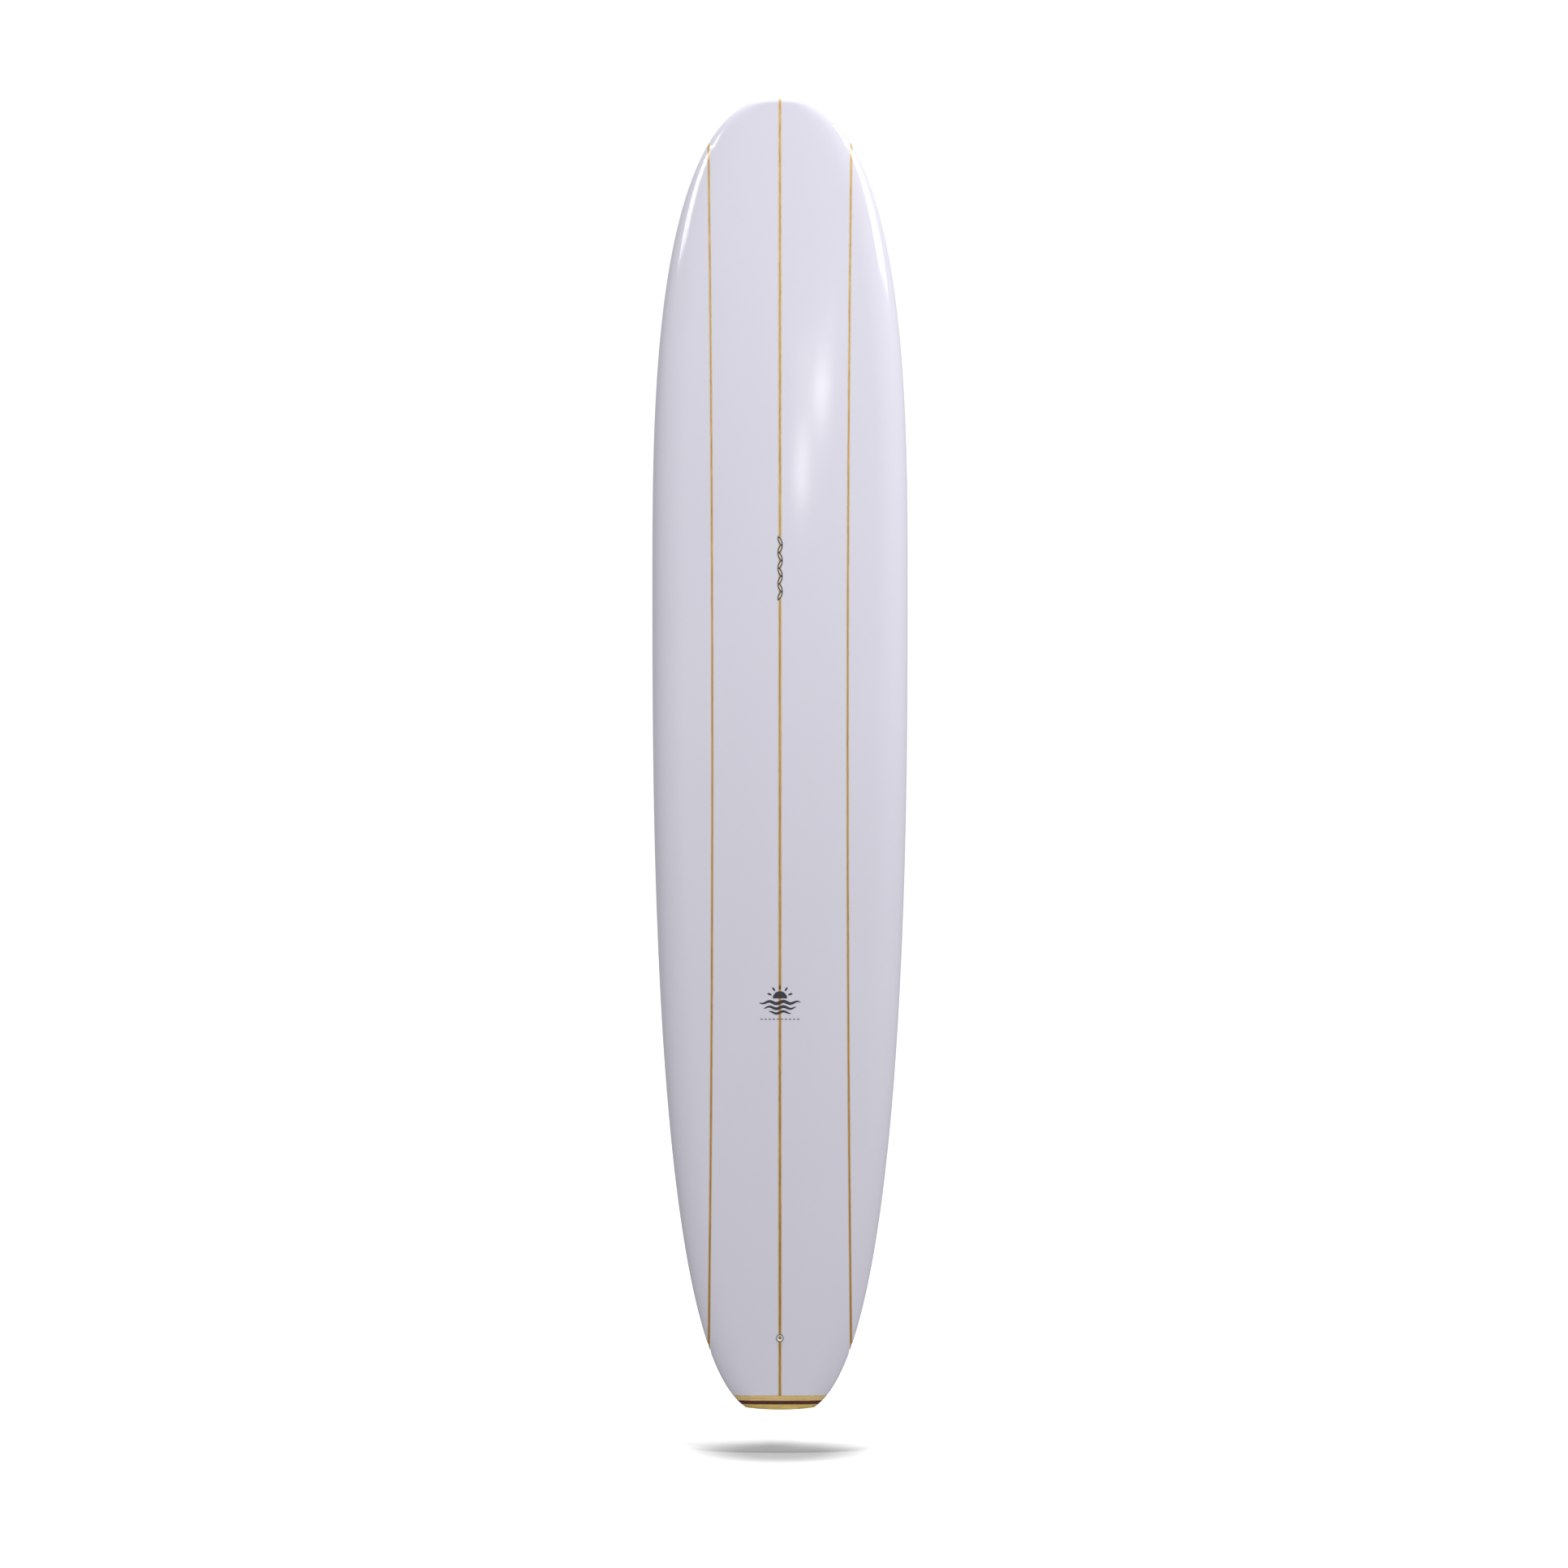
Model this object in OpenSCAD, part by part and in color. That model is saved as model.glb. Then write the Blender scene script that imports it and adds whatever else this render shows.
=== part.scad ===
// Longboard surfboard with three laminated stringers, a laminated tail block,
// a leash cup in the deck and a single fin held in a long fin box.
//
// Frame: Z runs from the tail (0) to the nose, X across, and the deck faces -Y.
// The origin is the middle of the flat end of the tail block.
// "s" is the distance from the tail end, "h" the height above the flat of the
// bottom as the board lies deck up, and "inset" how far a surface lies inside
// the outer skin.

/* [Board] */
// Overall length from tail end to nose tip
board_length = 2896; // [2700:1:3050]
// Width at the widest point
board_width = 571; // [550:1:600]
// Thickness on the centre line at its thickest point
board_thickness = 76; // [70:1:84]
// Lift of the nose above the flat of the bottom
nose_rocker = 112; // [95:1:130]
// Lift of the tail above the flat of the bottom
tail_rocker = 94; // [80:1:105]
// Distance of the widest point from the tail
wide_point = 1790; // [1700:10:1900]

/* [Core] */
// Width of the centre stringer, all three plies together
center_stringer_width = 8; // [6:0.5:12]
// Width of each side stringer, all three plies together
side_stringer_width = 6; // [4:0.5:10]
// Distance of the side stringers from the centre line, at mid length
side_stringer_offset = 150; // [140:1:158]
// How much further out the side stringers lie at nose and tail
side_stringer_flare = 9; // [4:1:12]
// Thickness of the light wood strip at the very tail
rear_strip = 11.5; // [10:0.5:14]
// Thickness of the dark wood strip of the tail block
middle_strip = 8; // [6:0.5:10]
// Thickness of the light wood strip against the foam
front_strip = 11.5; // [10:0.5:14]

/* [Laminate] */
// Thickness of the glass and resin skin
glass_thickness = 1; // [0.8:0.1:1.2]
// Bond line between the skin and the core
skin_gap = 0.5; // [0.5:0.05:0.7]

/* [Fin system] */
// Distance of the middle of the fin box from the tail
box_place = 315; // [310:5:360]
// Length of the fin box
box_length = 267; // [267:1:280]
// Depth of the fin below the bottom of the board
fin_depth = 241; // [200:1:254]
// Length of the fin where it meets the board
fin_base = 152; // [146:1:154]
// How far the fin tip lies behind the front of the base
fin_rake = 190; // [150:5:200]

/* [Leash cup] */
// Distance of the leash cup from the tail
cup_place = 157; // [140:1:165]
// Outer diameter of the resin ring that holds the leash cup
cup_hole = 16; // [15.5:0.5:17]
// Outer diameter of the leash cup
cup_diameter = 13; // [12.5:0.1:13.4]

/* [Hidden] */
$fn = 48;

// Colours
FOAM = [0.93, 0.93, 0.96];
PALE_WOOD = [0.82, 0.78, 0.64];
WARM_WOOD = [0.72, 0.54, 0.30];
LIGHT_WOOD = [0.80, 0.66, 0.36];
DARK_WOOD = [0.32, 0.12, 0.05];
GLASS = [0.86, 0.90, 0.94, 0.35];
BLACK = [0.04, 0.04, 0.06];
CREAM = [0.93, 0.89, 0.78];
RESIN = [0.30, 0.28, 0.28];
STEEL = [0.75, 0.76, 0.78];
FIN = [0.55, 0.60, 0.42];

// Outline: a superellipse ahead of the wide point, another behind it, and a
// short round corner that ends in the flat of the tail
nose_power = 3;
nose_fullness = 0.42;
tail_reach = wide_point + 15;
tail_power = 2.48;
tail_fullness = 0.356;
tail_flat = 30;
corner_width = 253;
corner_length = 200;

// Foil and rocker, measured from the thickest point
apex = 1400;
nose_tip_thickness = 20;
tail_end_thickness = 24;
nose_foil_power = 3;
tail_foil_power = 2.6;
nose_rocker_power = 2.6;
tail_rocker_power = 2.3;
nose_rounding = 14;

// Cross-section
deck_share = 0.56;
bottom_share = 1 - deck_share;
deck_dome = 0.24;
bottom_belly = 0.10;
rail_size = 92;

// Core
core_inset = glass_thickness + skin_gap;
glue = 0.08;
rail_end = 1.985;
least_width = 0.8;
first_gap = 1;
last_gap = 0.3;
block_length = rear_strip + middle_strip + front_strip;
ply_share = 0.25;

// Decals, in the bond line between core and skin
decal_low = core_inset - 0.25;
decal_high = core_inset - 0.37;
deck_emblem_place = 905;
deck_emblem_size = [48, 36];
stringer_emblem_place = 1859;
stringer_emblem_size = [8, 72];

// Leash cup
cup_depth = 15;
cup_floor = 3;
cup_lip = 0.6;
bore_radius = 3.1;
dish_depth = 3.5;
bar_radius = 0.9;
bar_below = 8.5;
bar_grip = 1.8;
bar_room = 0.02;
ring_sunk = 0.05;
ring_room = 0.05;

// Fin box and slot
box_width = 25;
box_depth = 25;
box_sunk = 1.1;
pocket_room = 0.25;
pocket_above = 8;
cut_over = 1;
slot_width = 9.6;
slot_depth = 20.5;
slot_wall = 15.5;
slot_length = box_length - 2 * slot_wall;
groove_width = 13.6;
groove_top = 8.6;
groove_height = 5.2;
entry_extra = 2;

// Fin
tab_width = 9.3;
tab_depth = 19.5;
fin_front = 60;
tab_step = 6;
tab_front_step = 3;
tab_rear = fin_front - fin_base + tab_step;
overlap = 0.5;
fin_lift = 0.3;
fin_edge = 0.8;
tongue_front = 78;
tongue_top = 3.5;
tongue_bottom = 8.2;
tongue_overlap = 10;
pin_step = 6;
pin_place = [tab_rear + pin_step, -(groove_top + groove_height / 2)];
pin_radius = 2.35;
pin_length = 12.8;
pin_wall = 0.9;
pin_room = 0.01;
screw_place = (fin_front + tongue_front) / 2;
screw_radius = 2.08;
screw_head_radius = 3.8;
screw_head = 2.25;
screw_length = 11.6;
screw_room = 0.07;
thread_room = 0.05;
head_gap = 0.05;
driver_slot = [1.2, 10, 1.1];
plate_size = [12.8, 3.2, 12];
plate_top = groove_top + head_gap;

// ---- outline, rocker and foil -------------------------------------------

function nose_half(s, inset) =
  let (t = (s - wide_point) / (board_length - inset - wide_point))
  (board_width / 2 - inset) * pow(max(0, 1 - pow(t, nose_power)), nose_fullness);
function tail_corner(s) =
  let (c = 1 - s / corner_length)
  s < corner_length ? tail_flat + corner_width * sqrt(1 - c * c) : board_width;
function tail_half(s, inset) =
  let (t = (wide_point - s) / tail_reach)
  min(board_width / 2 * pow(1 - pow(t, tail_power), tail_fullness), tail_corner(s)) - inset;
function half_width(s, inset) = s > wide_point ? nose_half(s, inset) : tail_half(s, inset);

function toward_tail(s) = max(0, (apex - s) / apex);
function toward_nose(s) = max(0, (s - apex) / (board_length - apex));
function rocker(s) =
  tail_rocker * pow(toward_tail(s), tail_rocker_power)
  + nose_rocker * pow(toward_nose(s), nose_rocker_power);
function foil(s) =
  board_thickness
  - (board_thickness - tail_end_thickness) * pow(toward_tail(s), tail_foil_power)
  - (board_thickness - nose_tip_thickness) * pow(toward_nose(s), nose_foil_power);
function rail_line(s) = rocker(s) + bottom_share * foil(s);

// Rounds the thickness off over the last stretch before the nose tip
function tip_rounding(s, inset) =
  let (past = max(0, s - (board_length - inset - nose_rounding)) / nose_rounding)
  sqrt(max(0, 1 - past * past));

// ---- cross-section --------------------------------------------------------

function rail_depth(w) = rail_size * w / (w + rail_size);
function rail_start(w) = w - rail_depth(w);
function rail_shape(x, w) =
  let (v = min(1, max(0, abs(x) - rail_start(w)) / rail_depth(w)))
  sqrt(1 - v * v);

function deck_height(x, s, inset) =
  let (w = half_width(s, inset))
  rail_line(s) + (deck_share * foil(s) - inset) * tip_rounding(s, inset)
    * (1 - deck_dome * pow(x / w, 2)) * rail_shape(x, w);
function bottom_height(x, s, inset) =
  let (w = half_width(s, inset))
  rail_line(s) - (bottom_share * foil(s) - inset) * tip_rounding(s, inset)
    * (1 - bottom_belly * pow(x / w, 2)) * rail_shape(x, w);

// Places across the board: 0 on the centre line, 1 where the rail curve
// starts and 2 at the rail itself
function place_of(x, w) =
  sign(x) * (abs(x) < rail_start(w)
    ? abs(x) / rail_start(w)
    : 1 + asin(min(1, (abs(x) - rail_start(w)) / rail_depth(w))) / 90);
function x_of(place, w) =
  sign(place) * (abs(place) < 1
    ? abs(place) * rail_start(w)
    : rail_start(w) + rail_depth(w) * sin(90 * (abs(place) - 1)));

function to_frame(x, s, h) = [x, rail_line(0) - h, s];
function deck_point(x, s, inset) = to_frame(x, s, deck_height(x, s, inset));
function bottom_point(x, s, inset) = to_frame(x, s, bottom_height(x, s, inset));

// ---- stations along the board ---------------------------------------------

tail_stations = 18;
nose_stations = 17;
tail_spacing = 1.6;
nose_spacing = 2.6;
rear_stations = [0, 0.8, 2.2, 4, 7.5, rear_strip];

function body_stations(inset) = concat(
  [for (i = [0:tail_stations])
    block_length + (wide_point - block_length) * pow(i / tail_stations, tail_spacing)],
  [for (i = [1:nose_stations - 1])
    wide_point + (board_length - inset - wide_point)
      * (1 - pow(1 - i / nose_stations, nose_spacing))]
);
function skin_stations(inset) = concat(
  rear_stations, [rear_strip + middle_strip], body_stations(inset)
);

// ---- solids from sections -------------------------------------------------

function quad(a, b, c, d) = [[a, b, c], [a, c, d]];
function flat(lists) = [for (one = lists) for (item = one) item];

// A solid through closed sections that all have the same number of points
module loft(sections) {
  n = len(sections[0]);
  last = len(sections) - 1;
  sides = flat([
    for (i = [0:last - 1]) for (j = [0:n - 1])
      quad(i * n + j, (i + 1) * n + j, (i + 1) * n + (j + 1) % n, i * n + (j + 1) % n)
  ]);
  near_end = [for (j = [0:n - 1]) j];
  far_end = [for (j = [n - 1:-1:0]) last * n + j];
  polyhedron(flat(sections), concat(sides, [near_end, far_end]));
}

// ---- core strips ----------------------------------------------------------

function side_line(s) =
  side_stringer_offset
  + side_stringer_flare * pow((s - board_length / 2) / (board_length / 2), 2);

// A line along the board is [distance, 0] from the centre line, or
// [distance, 1] from the middle of the side stringer
function line_x(line, s) = line[0] + line[1] * side_line(s);
RAIL = [board_width, 0];

function spare(line, s) = half_width(s, core_inset) - line_x(line, s) - glue / 2;
// The last place from "inside" towards "outside" where the board still holds the line
function line_end(line, inside, outside, steps = 30) =
  let (middle = (inside + outside) / 2)
  steps == 0 ? inside
  : spare(line, middle) > least_width ? line_end(line, middle, outside, steps - 1)
  : line_end(line, inside, middle, steps - 1);

function strip_stations(line) =
  let (
    all = body_stations(core_inset),
    first = spare(line, block_length) > least_width
      ? block_length : line_end(line, wide_point, block_length),
    tip = all[len(all) - 1],
    last = spare(line, tip) > least_width ? tip : line_end(line, wide_point, tip)
  )
  concat([first], [for (s = all) if (s > first + first_gap && s < last - last_gap) s], [last]);

function strip_section(from, to, s, steps) =
  let (
    w = half_width(s, core_inset),
    place_a = place_of(line_x(from, s) + glue / 2, w),
    place_b = min(rail_end, place_of(line_x(to, s) - glue / 2, w)),
    xs = [for (i = [0:steps]) x_of(place_a + (place_b - place_a) * i / steps, w)]
  )
  concat(
    [for (i = [0:steps]) deck_point(xs[i], s, core_inset)],
    [for (i = [steps:-1:0]) bottom_point(xs[i], s, core_inset)]
  );

module strip(from, to, steps) {
  loft([for (s = strip_stations(from)) strip_section(from, to, s, steps)]);
}

// The centre strips give way to the fin box and the leash cup
module center_strip(from, to, steps) {
  difference() {
    strip(from, to, steps);
    fin_box_pocket();
    leash_cup_hole();
  }
}

half_center = center_stringer_width / 2;
half_side = side_stringer_width / 2;
center_ply = center_stringer_width * ply_share;
side_ply = side_stringer_width * ply_share;

module foam_rail() {
  color(FOAM) strip([half_side, 1], RAIL, 8);
}
module foam_center() {
  color(FOAM) center_strip([half_center, 0], [-half_side, 1], 6);
}
module center_core() {
  color(WARM_WOOD) center_strip([center_ply - half_center, 0], [half_center - center_ply, 0], 2);
}
module center_outer_ply() {
  color(PALE_WOOD) center_strip([half_center - center_ply, 0], [half_center, 0], 1);
}
module side_inner_ply() {
  color(PALE_WOOD) strip([-half_side, 1], [side_ply - half_side, 1], 1);
}
module side_core() {
  color(WARM_WOOD) strip([side_ply - half_side, 1], [half_side - side_ply, 1], 1);
}
module side_outer_ply() {
  color(PALE_WOOD) strip([half_side - side_ply, 1], [half_side, 1], 1);
}
module on_left() {
  mirror([1, 0, 0]) children();
}

// ---- tail block -----------------------------------------------------------

block_steps = 14;

function block_section(s) =
  let (
    w = half_width(s, core_inset),
    xs = [for (i = [0:block_steps]) x_of(rail_end * (2 * i / block_steps - 1), w)]
  )
  concat(
    [for (i = [0:block_steps]) deck_point(xs[i], s, core_inset)],
    [for (i = [block_steps:-1:0]) bottom_point(xs[i], s, core_inset)]
  );

module tail_block_strip(stations) {
  loft([for (s = stations) block_section(s)]);
}
module tail_block_rear_strip() {
  color(LIGHT_WOOD) tail_block_strip(rear_stations);
}
module tail_block_middle_strip() {
  color(DARK_WOOD) tail_block_strip([rear_strip + glue, rear_strip + middle_strip]);
}
module tail_block_front_strip() {
  color(LIGHT_WOOD) tail_block_strip([rear_strip + middle_strip + glue, block_length - glue]);
}

// ---- glass skins ----------------------------------------------------------

skin_flat_steps = 3;
skin_rail_steps = 8;
skin_places = concat(
  [for (i = [-skin_rail_steps:-1]) -1 + i / skin_rail_steps],
  [for (i = [-skin_flat_steps:skin_flat_steps]) i / skin_flat_steps],
  [for (i = [1:skin_rail_steps]) 1 + i / skin_rail_steps]
);

function skin_point(side, place, s, inset) =
  let (x = x_of(place, half_width(s, inset)))
  side > 0 ? deck_point(x, s, inset) : bottom_point(x, s, inset);
function skin_tip(inset) =
  let (s = board_length - inset)
  to_frame(0, s, rail_line(s));

// Half of the hollow skin: side 1 is the deck and side -1 the bottom. It is
// open at the tail, where the tail block shows, and closed at the nose.
module skin(side) {
  outer = skin_stations(0);
  inner = skin_stations(glass_thickness);
  n = len(skin_places);
  rows = len(outer);
  last = rows - 1;
  inside = rows * n;
  outer_tip = 2 * inside;
  inner_tip = outer_tip + 1;
  points = concat(
    [for (s = outer) for (p = skin_places) skin_point(side, p, s, 0)],
    [for (s = inner) for (p = skin_places) skin_point(side, p, s, glass_thickness)],
    [skin_tip(0), skin_tip(glass_thickness)]
  );
  walls = [for (i = [0:last - 1]) for (j = [0:n - 2]) let (a = i * n + j) concat(
    quad(a, a + 1, a + n + 1, a + n),
    quad(inside + a + 1, inside + a, inside + a + n, inside + a + n + 1)
  )];
  rails = [for (i = [0:last - 1]) let (a = i * n, b = i * n + n - 1) concat(
    quad(a, a + n, inside + a + n, inside + a),
    quad(b + n, b, inside + b, inside + b + n)
  )];
  tail_edge = [for (j = [0:n - 2]) quad(j + 1, j, inside + j, inside + j + 1)];
  nose_fans = [for (j = [0:n - 2]) let (a = last * n + j)
    [[a, a + 1, outer_tip], [inside + a + 1, inside + a, inner_tip]]];
  first = last * n;
  end = last * n + n - 1;
  nose_edges = concat(
    quad(first, outer_tip, inner_tip, inside + first),
    quad(outer_tip, end, inside + end, inner_tip)
  );
  faces = concat(flat(walls), flat(rails), flat(tail_edge), flat(nose_fans), nose_edges);
  polyhedron(points, side < 0 ? faces : [for (f = faces) [f[2], f[1], f[0]]]);
}
module deck_glass() {
  color(GLASS) difference() {
    skin(1);
    leash_cup_hole();
  }
}
module bottom_glass() {
  color(GLASS) difference() {
    skin(-1);
    fin_box_pocket();
  }
}

// ---- decals ---------------------------------------------------------------

decal_points = 32;

// An oval film that follows the deck
module decal(place, size) {
  function rim(inset) = [for (i = [0:decal_points - 1])
    let (a = 360 * i / decal_points)
    deck_point(size[0] * cos(a), place + size[1] * sin(a), inset)];
  low = 2 * decal_points;
  faces = flat([for (i = [0:decal_points - 1]) let (k = (i + 1) % decal_points) [
    [low, i, k],
    [low + 1, decal_points + k, decal_points + i],
    [i, decal_points + i, decal_points + k],
    [i, decal_points + k, k]
  ]]);
  middle = [deck_point(0, place, decal_low), deck_point(0, place, decal_high)];
  polyhedron(concat(rim(decal_low), rim(decal_high), middle), faces);
}
module deck_emblem() {
  color(BLACK) decal(deck_emblem_place, deck_emblem_size);
}
module stringer_emblem() {
  color(BLACK) decal(stringer_emblem_place, stringer_emblem_size);
}

// ---- leash cup ------------------------------------------------------------

function deck_slope(s) = atan((deck_height(0, s + 1, 0) - deck_height(0, s - 1, 0)) / 2);

// Puts +Z along the outward normal of the deck, and its origin on the deck
module at_cup() {
  translate(deck_point(0, cup_place, 0)) rotate([90 + deck_slope(cup_place), 0, 0]) children();
}
module leash_cup_hole() {
  at_cup() translate([0, 0, -cup_depth - pocket_room])
    cylinder(h = cup_depth + pocket_above, d = cup_hole + 2 * pocket_room);
}
module bar_shape(room) {
  translate([0, 0, -bar_below]) rotate([0, 90, 0])
    cylinder(h = 2 * (bore_radius + bar_grip + room), r = bar_radius + room, center = true);
}
module cup_resin_ring() {
  color(RESIN) at_cup() difference() {
    translate([0, 0, -cup_depth]) cylinder(h = cup_depth - ring_sunk, d = cup_hole);
    translate([0, 0, -cup_depth - cut_over])
      cylinder(h = cup_depth + 2 * cut_over, d = cup_diameter + 2 * ring_room);
  }
}
// A dish that narrows to a bore, with the leash bar across the bore
module leash_cup() {
  color(CREAM) at_cup() difference() {
    translate([0, 0, -cup_depth]) cylinder(h = cup_depth, d = cup_diameter);
    translate([0, 0, -dish_depth])
      cylinder(h = dish_depth + bar_room, r1 = bore_radius, r2 = cup_diameter / 2 - cup_lip);
    translate([0, 0, cup_floor - cup_depth]) cylinder(h = cup_depth, r = bore_radius);
    bar_shape(bar_room);
  }
}
module leash_bar() {
  color(STEEL) at_cup() bar_shape(0);
}

// ---- fin box --------------------------------------------------------------

function bottom_slope(s) = atan((rocker(s + 1) - rocker(s - 1)) / 2);

// Puts +Y along the outward normal of the bottom and +Z towards the nose, with
// the origin in the middle of the box's open face
module at_box() {
  translate(to_frame(0, box_place, rocker(box_place)))
    rotate([bottom_slope(box_place), 0, 0])
      translate([0, -box_sunk, 0]) children();
}
// A block with round ends, from "top" down by "depth"
module round_ended(width, length, top, depth) {
  reach = (length - width) / 2;
  translate([0, -top, 0]) rotate([90, 0, 0]) linear_extrude(depth) {
    square([width, 2 * reach], center = true);
    for (end = [-reach, reach]) translate([0, end]) circle(d = width);
  }
}
module fin_box_pocket() {
  at_box() round_ended(box_width + 2 * pocket_room, box_length + 2 * pocket_room,
    -pocket_above, box_depth + pocket_above + pocket_room);
}
module fin_box() {
  color(BLACK) at_box() difference() {
    round_ended(box_width, box_length, 0, box_depth);
    round_ended(slot_width, slot_length, -cut_over, slot_depth + cut_over);
    translate([-groove_width / 2, -groove_top - groove_height, -slot_length / 2])
      cube([groove_width, groove_height, slot_length]);
    round_ended(groove_width, groove_width + entry_extra, -cut_over,
      groove_top + 2 * cut_over);
  }
}

// ---- fin ------------------------------------------------------------------

fin_sections = 16;
fin_steps = 10;
fin_thickness = 8.8;
fin_tip_chord = 8;
fin_taper = 0.97;
fin_narrowing = 0.25;
fin_tip_power = 2.4;
fin_rake_power = 1.7;
fin_taper_power = 0.7;
fin_spacing = 1.6;
// Makes the thickest point of the foil come out at its full thickness
foil_scale = 1.5 * sqrt(3);

// Chord, sweep and thickness at "v", from 0 at the base to 1 at the tip
function fin_chord(v) =
  fin_tip_chord
  + (fin_base - fin_tip_chord) * (1 - fin_narrowing * v) * sqrt(max(0, 1 - pow(v, fin_tip_power)));
function fin_nose_line(v) = 
  fin_front - (fin_rake - fin_tip_chord) * pow(v, fin_rake_power);
function fin_height(v) = fin_lift + (fin_depth - fin_lift) * v;
function foil_half(v, along) =
  fin_edge / 2 + (fin_thickness / 2 - fin_edge / 2) * pow(1 - fin_taper * v, fin_taper_power)
    * foil_scale * sqrt(along) * (1 - along);
function fin_section(v) =
  let (
    front = fin_nose_line(v),
    chord = fin_chord(v),
    places = [for (i = [0:fin_steps]) pow(i / fin_steps, fin_spacing)]
  )
  concat(
    [for (i = [0:fin_steps])
      [foil_half(v, places[i]), fin_height(v), front - chord * places[i]]],
    [for (i = [fin_steps:-1:0])
      [-foil_half(v, places[i]), fin_height(v), front - chord * places[i]]]
  );

module fin_blade() {
  loft([for (i = [0:fin_sections]) fin_section(sin(90 * i / fin_sections))]);
}
module fin_tab() {
  translate([-tab_width / 2, -tab_depth, tab_rear])
    cube([tab_width, tab_depth + fin_lift + overlap, fin_front - tab_rear - tab_front_step]);
  translate([-tab_width / 2, -tongue_bottom, fin_front - tongue_overlap])
    cube([tab_width, tongue_bottom - tongue_top, tongue_front - fin_front + tongue_overlap]);
}
module fin() {
  color(FIN) at_box() difference() {
    union() {
      fin_blade();
      fin_tab();
    }
    translate([0, pin_place[1], pin_place[0]]) rotate([0, 90, 0])
      cylinder(h = 2 * tab_width, r = pin_radius + pin_room, center = true);
    translate([0, 0, screw_place]) rotate([90, 0, 0])
      cylinder(h = 2 * tongue_bottom, r = screw_radius + screw_room);
  }
}
module fin_roll_pin() {
  color(STEEL) at_box() translate([0, pin_place[1], pin_place[0]]) rotate([0, 90, 0])
    difference() {
      cylinder(h = pin_length, r = pin_radius, center = true);
      cylinder(h = pin_length + 2 * cut_over, r = pin_radius - pin_wall, center = true);
    }
}
module fin_screw() {
  head_top = tongue_top - head_gap - screw_head;
  color(STEEL) at_box() translate([0, 0, screw_place]) rotate([90, 0, 0]) {
    difference() {
      translate([0, 0, head_top]) cylinder(h = screw_head, r = screw_head_radius);
      translate([-driver_slot[0] / 2, -driver_slot[1] / 2, head_top - cut_over])
        cube(driver_slot + [0, 0, cut_over]);
    }
    translate([0, 0, tongue_top - overlap]) cylinder(h = screw_length, r = screw_radius);
  }
}
module fin_plate() {
  color(STEEL) at_box() translate([0, -plate_top, screw_place]) difference() {
    translate([-plate_size[0] / 2, -plate_size[1], -plate_size[2] / 2]) cube(plate_size);
    translate([0, cut_over, 0]) rotate([90, 0, 0])
      cylinder(h = plate_size[1] + 2 * cut_over, r = screw_radius + thread_room);
  }
}

// ---- assembly -------------------------------------------------------------

on_left() foam_rail();  // foam_left_rail
on_left() foam_center();  // foam_left_center
foam_center();  // foam_right_center
foam_rail();  // foam_right_rail
center_core();  // center_stringer_core
on_left() center_outer_ply();  // center_stringer_left_ply
center_outer_ply();  // center_stringer_right_ply
on_left() side_inner_ply();  // left_stringer_inner_ply
on_left() side_core();  // left_stringer_core
on_left() side_outer_ply();  // left_stringer_outer_ply
side_inner_ply();  // right_stringer_inner_ply
side_core();  // right_stringer_core
side_outer_ply();  // right_stringer_outer_ply
tail_block_rear_strip();
tail_block_middle_strip();
tail_block_front_strip();
deck_glass();
bottom_glass();
deck_emblem();
stringer_emblem();
cup_resin_ring();
leash_cup();
leash_bar();
fin_box();
fin();
fin_roll_pin();
fin_screw();
fin_plate();
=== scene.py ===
"""Longboard surfboard: the visual model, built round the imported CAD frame.

Shapes are worked out in millimetres with the same formulas as the CAD model,
and turned into metres when a mesh is made. s is the distance from the tail, x
the distance from the centre line, and inset the depth inside the outer skin.
"""

import math

import bmesh
import bpy
from mathutils import Matrix, Vector


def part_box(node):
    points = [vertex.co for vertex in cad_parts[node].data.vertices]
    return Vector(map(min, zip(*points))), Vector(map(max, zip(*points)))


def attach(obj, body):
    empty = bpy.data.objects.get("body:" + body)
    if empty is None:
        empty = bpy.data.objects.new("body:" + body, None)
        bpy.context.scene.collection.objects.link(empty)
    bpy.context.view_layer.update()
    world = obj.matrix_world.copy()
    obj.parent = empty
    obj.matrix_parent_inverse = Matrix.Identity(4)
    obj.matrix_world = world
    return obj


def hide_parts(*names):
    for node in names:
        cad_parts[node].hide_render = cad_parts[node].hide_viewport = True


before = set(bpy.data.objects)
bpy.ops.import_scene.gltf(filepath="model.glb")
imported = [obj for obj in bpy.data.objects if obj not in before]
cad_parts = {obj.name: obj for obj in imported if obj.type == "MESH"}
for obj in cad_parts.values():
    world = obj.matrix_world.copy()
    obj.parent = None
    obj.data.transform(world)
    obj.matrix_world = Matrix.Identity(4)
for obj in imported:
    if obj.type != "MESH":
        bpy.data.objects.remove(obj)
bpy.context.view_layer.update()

MM = 0.001
CREASE = 38
ARC_STEPS = 24
STATION_STEPS = 90

# Outline, as widths and places along the board. The powers set how full a curve is.
skin_low, skin_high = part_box("deck_glass")
LENGTH = skin_high.z / MM
WIDTH = (skin_high.x - skin_low.x) / MM
WIDE_POINT = 1790
NOSE_POWER = 3
NOSE_FULLNESS = 0.42
TAIL_REACH = 15
TAIL_POWER = 2.48
TAIL_FULLNESS = 0.356
CORNER_LENGTH = 200
CORNER_WIDTH = 253
TAIL_FLAT = 30

# Rocker and thickness, both measured from the apex, where the bottom is level
APEX = 1400
NOSE_ROCKER = 112
NOSE_ROCKER_POWER = 2.6
TAIL_ROCKER = 94
TAIL_ROCKER_POWER = 2.3
THICKNESS = 76
NOSE_TIP_THICKNESS = 20
NOSE_FOIL_POWER = 3
TAIL_END_THICKNESS = 24
TAIL_FOIL_POWER = 2.6
NOSE_ROUNDING = 14

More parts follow.
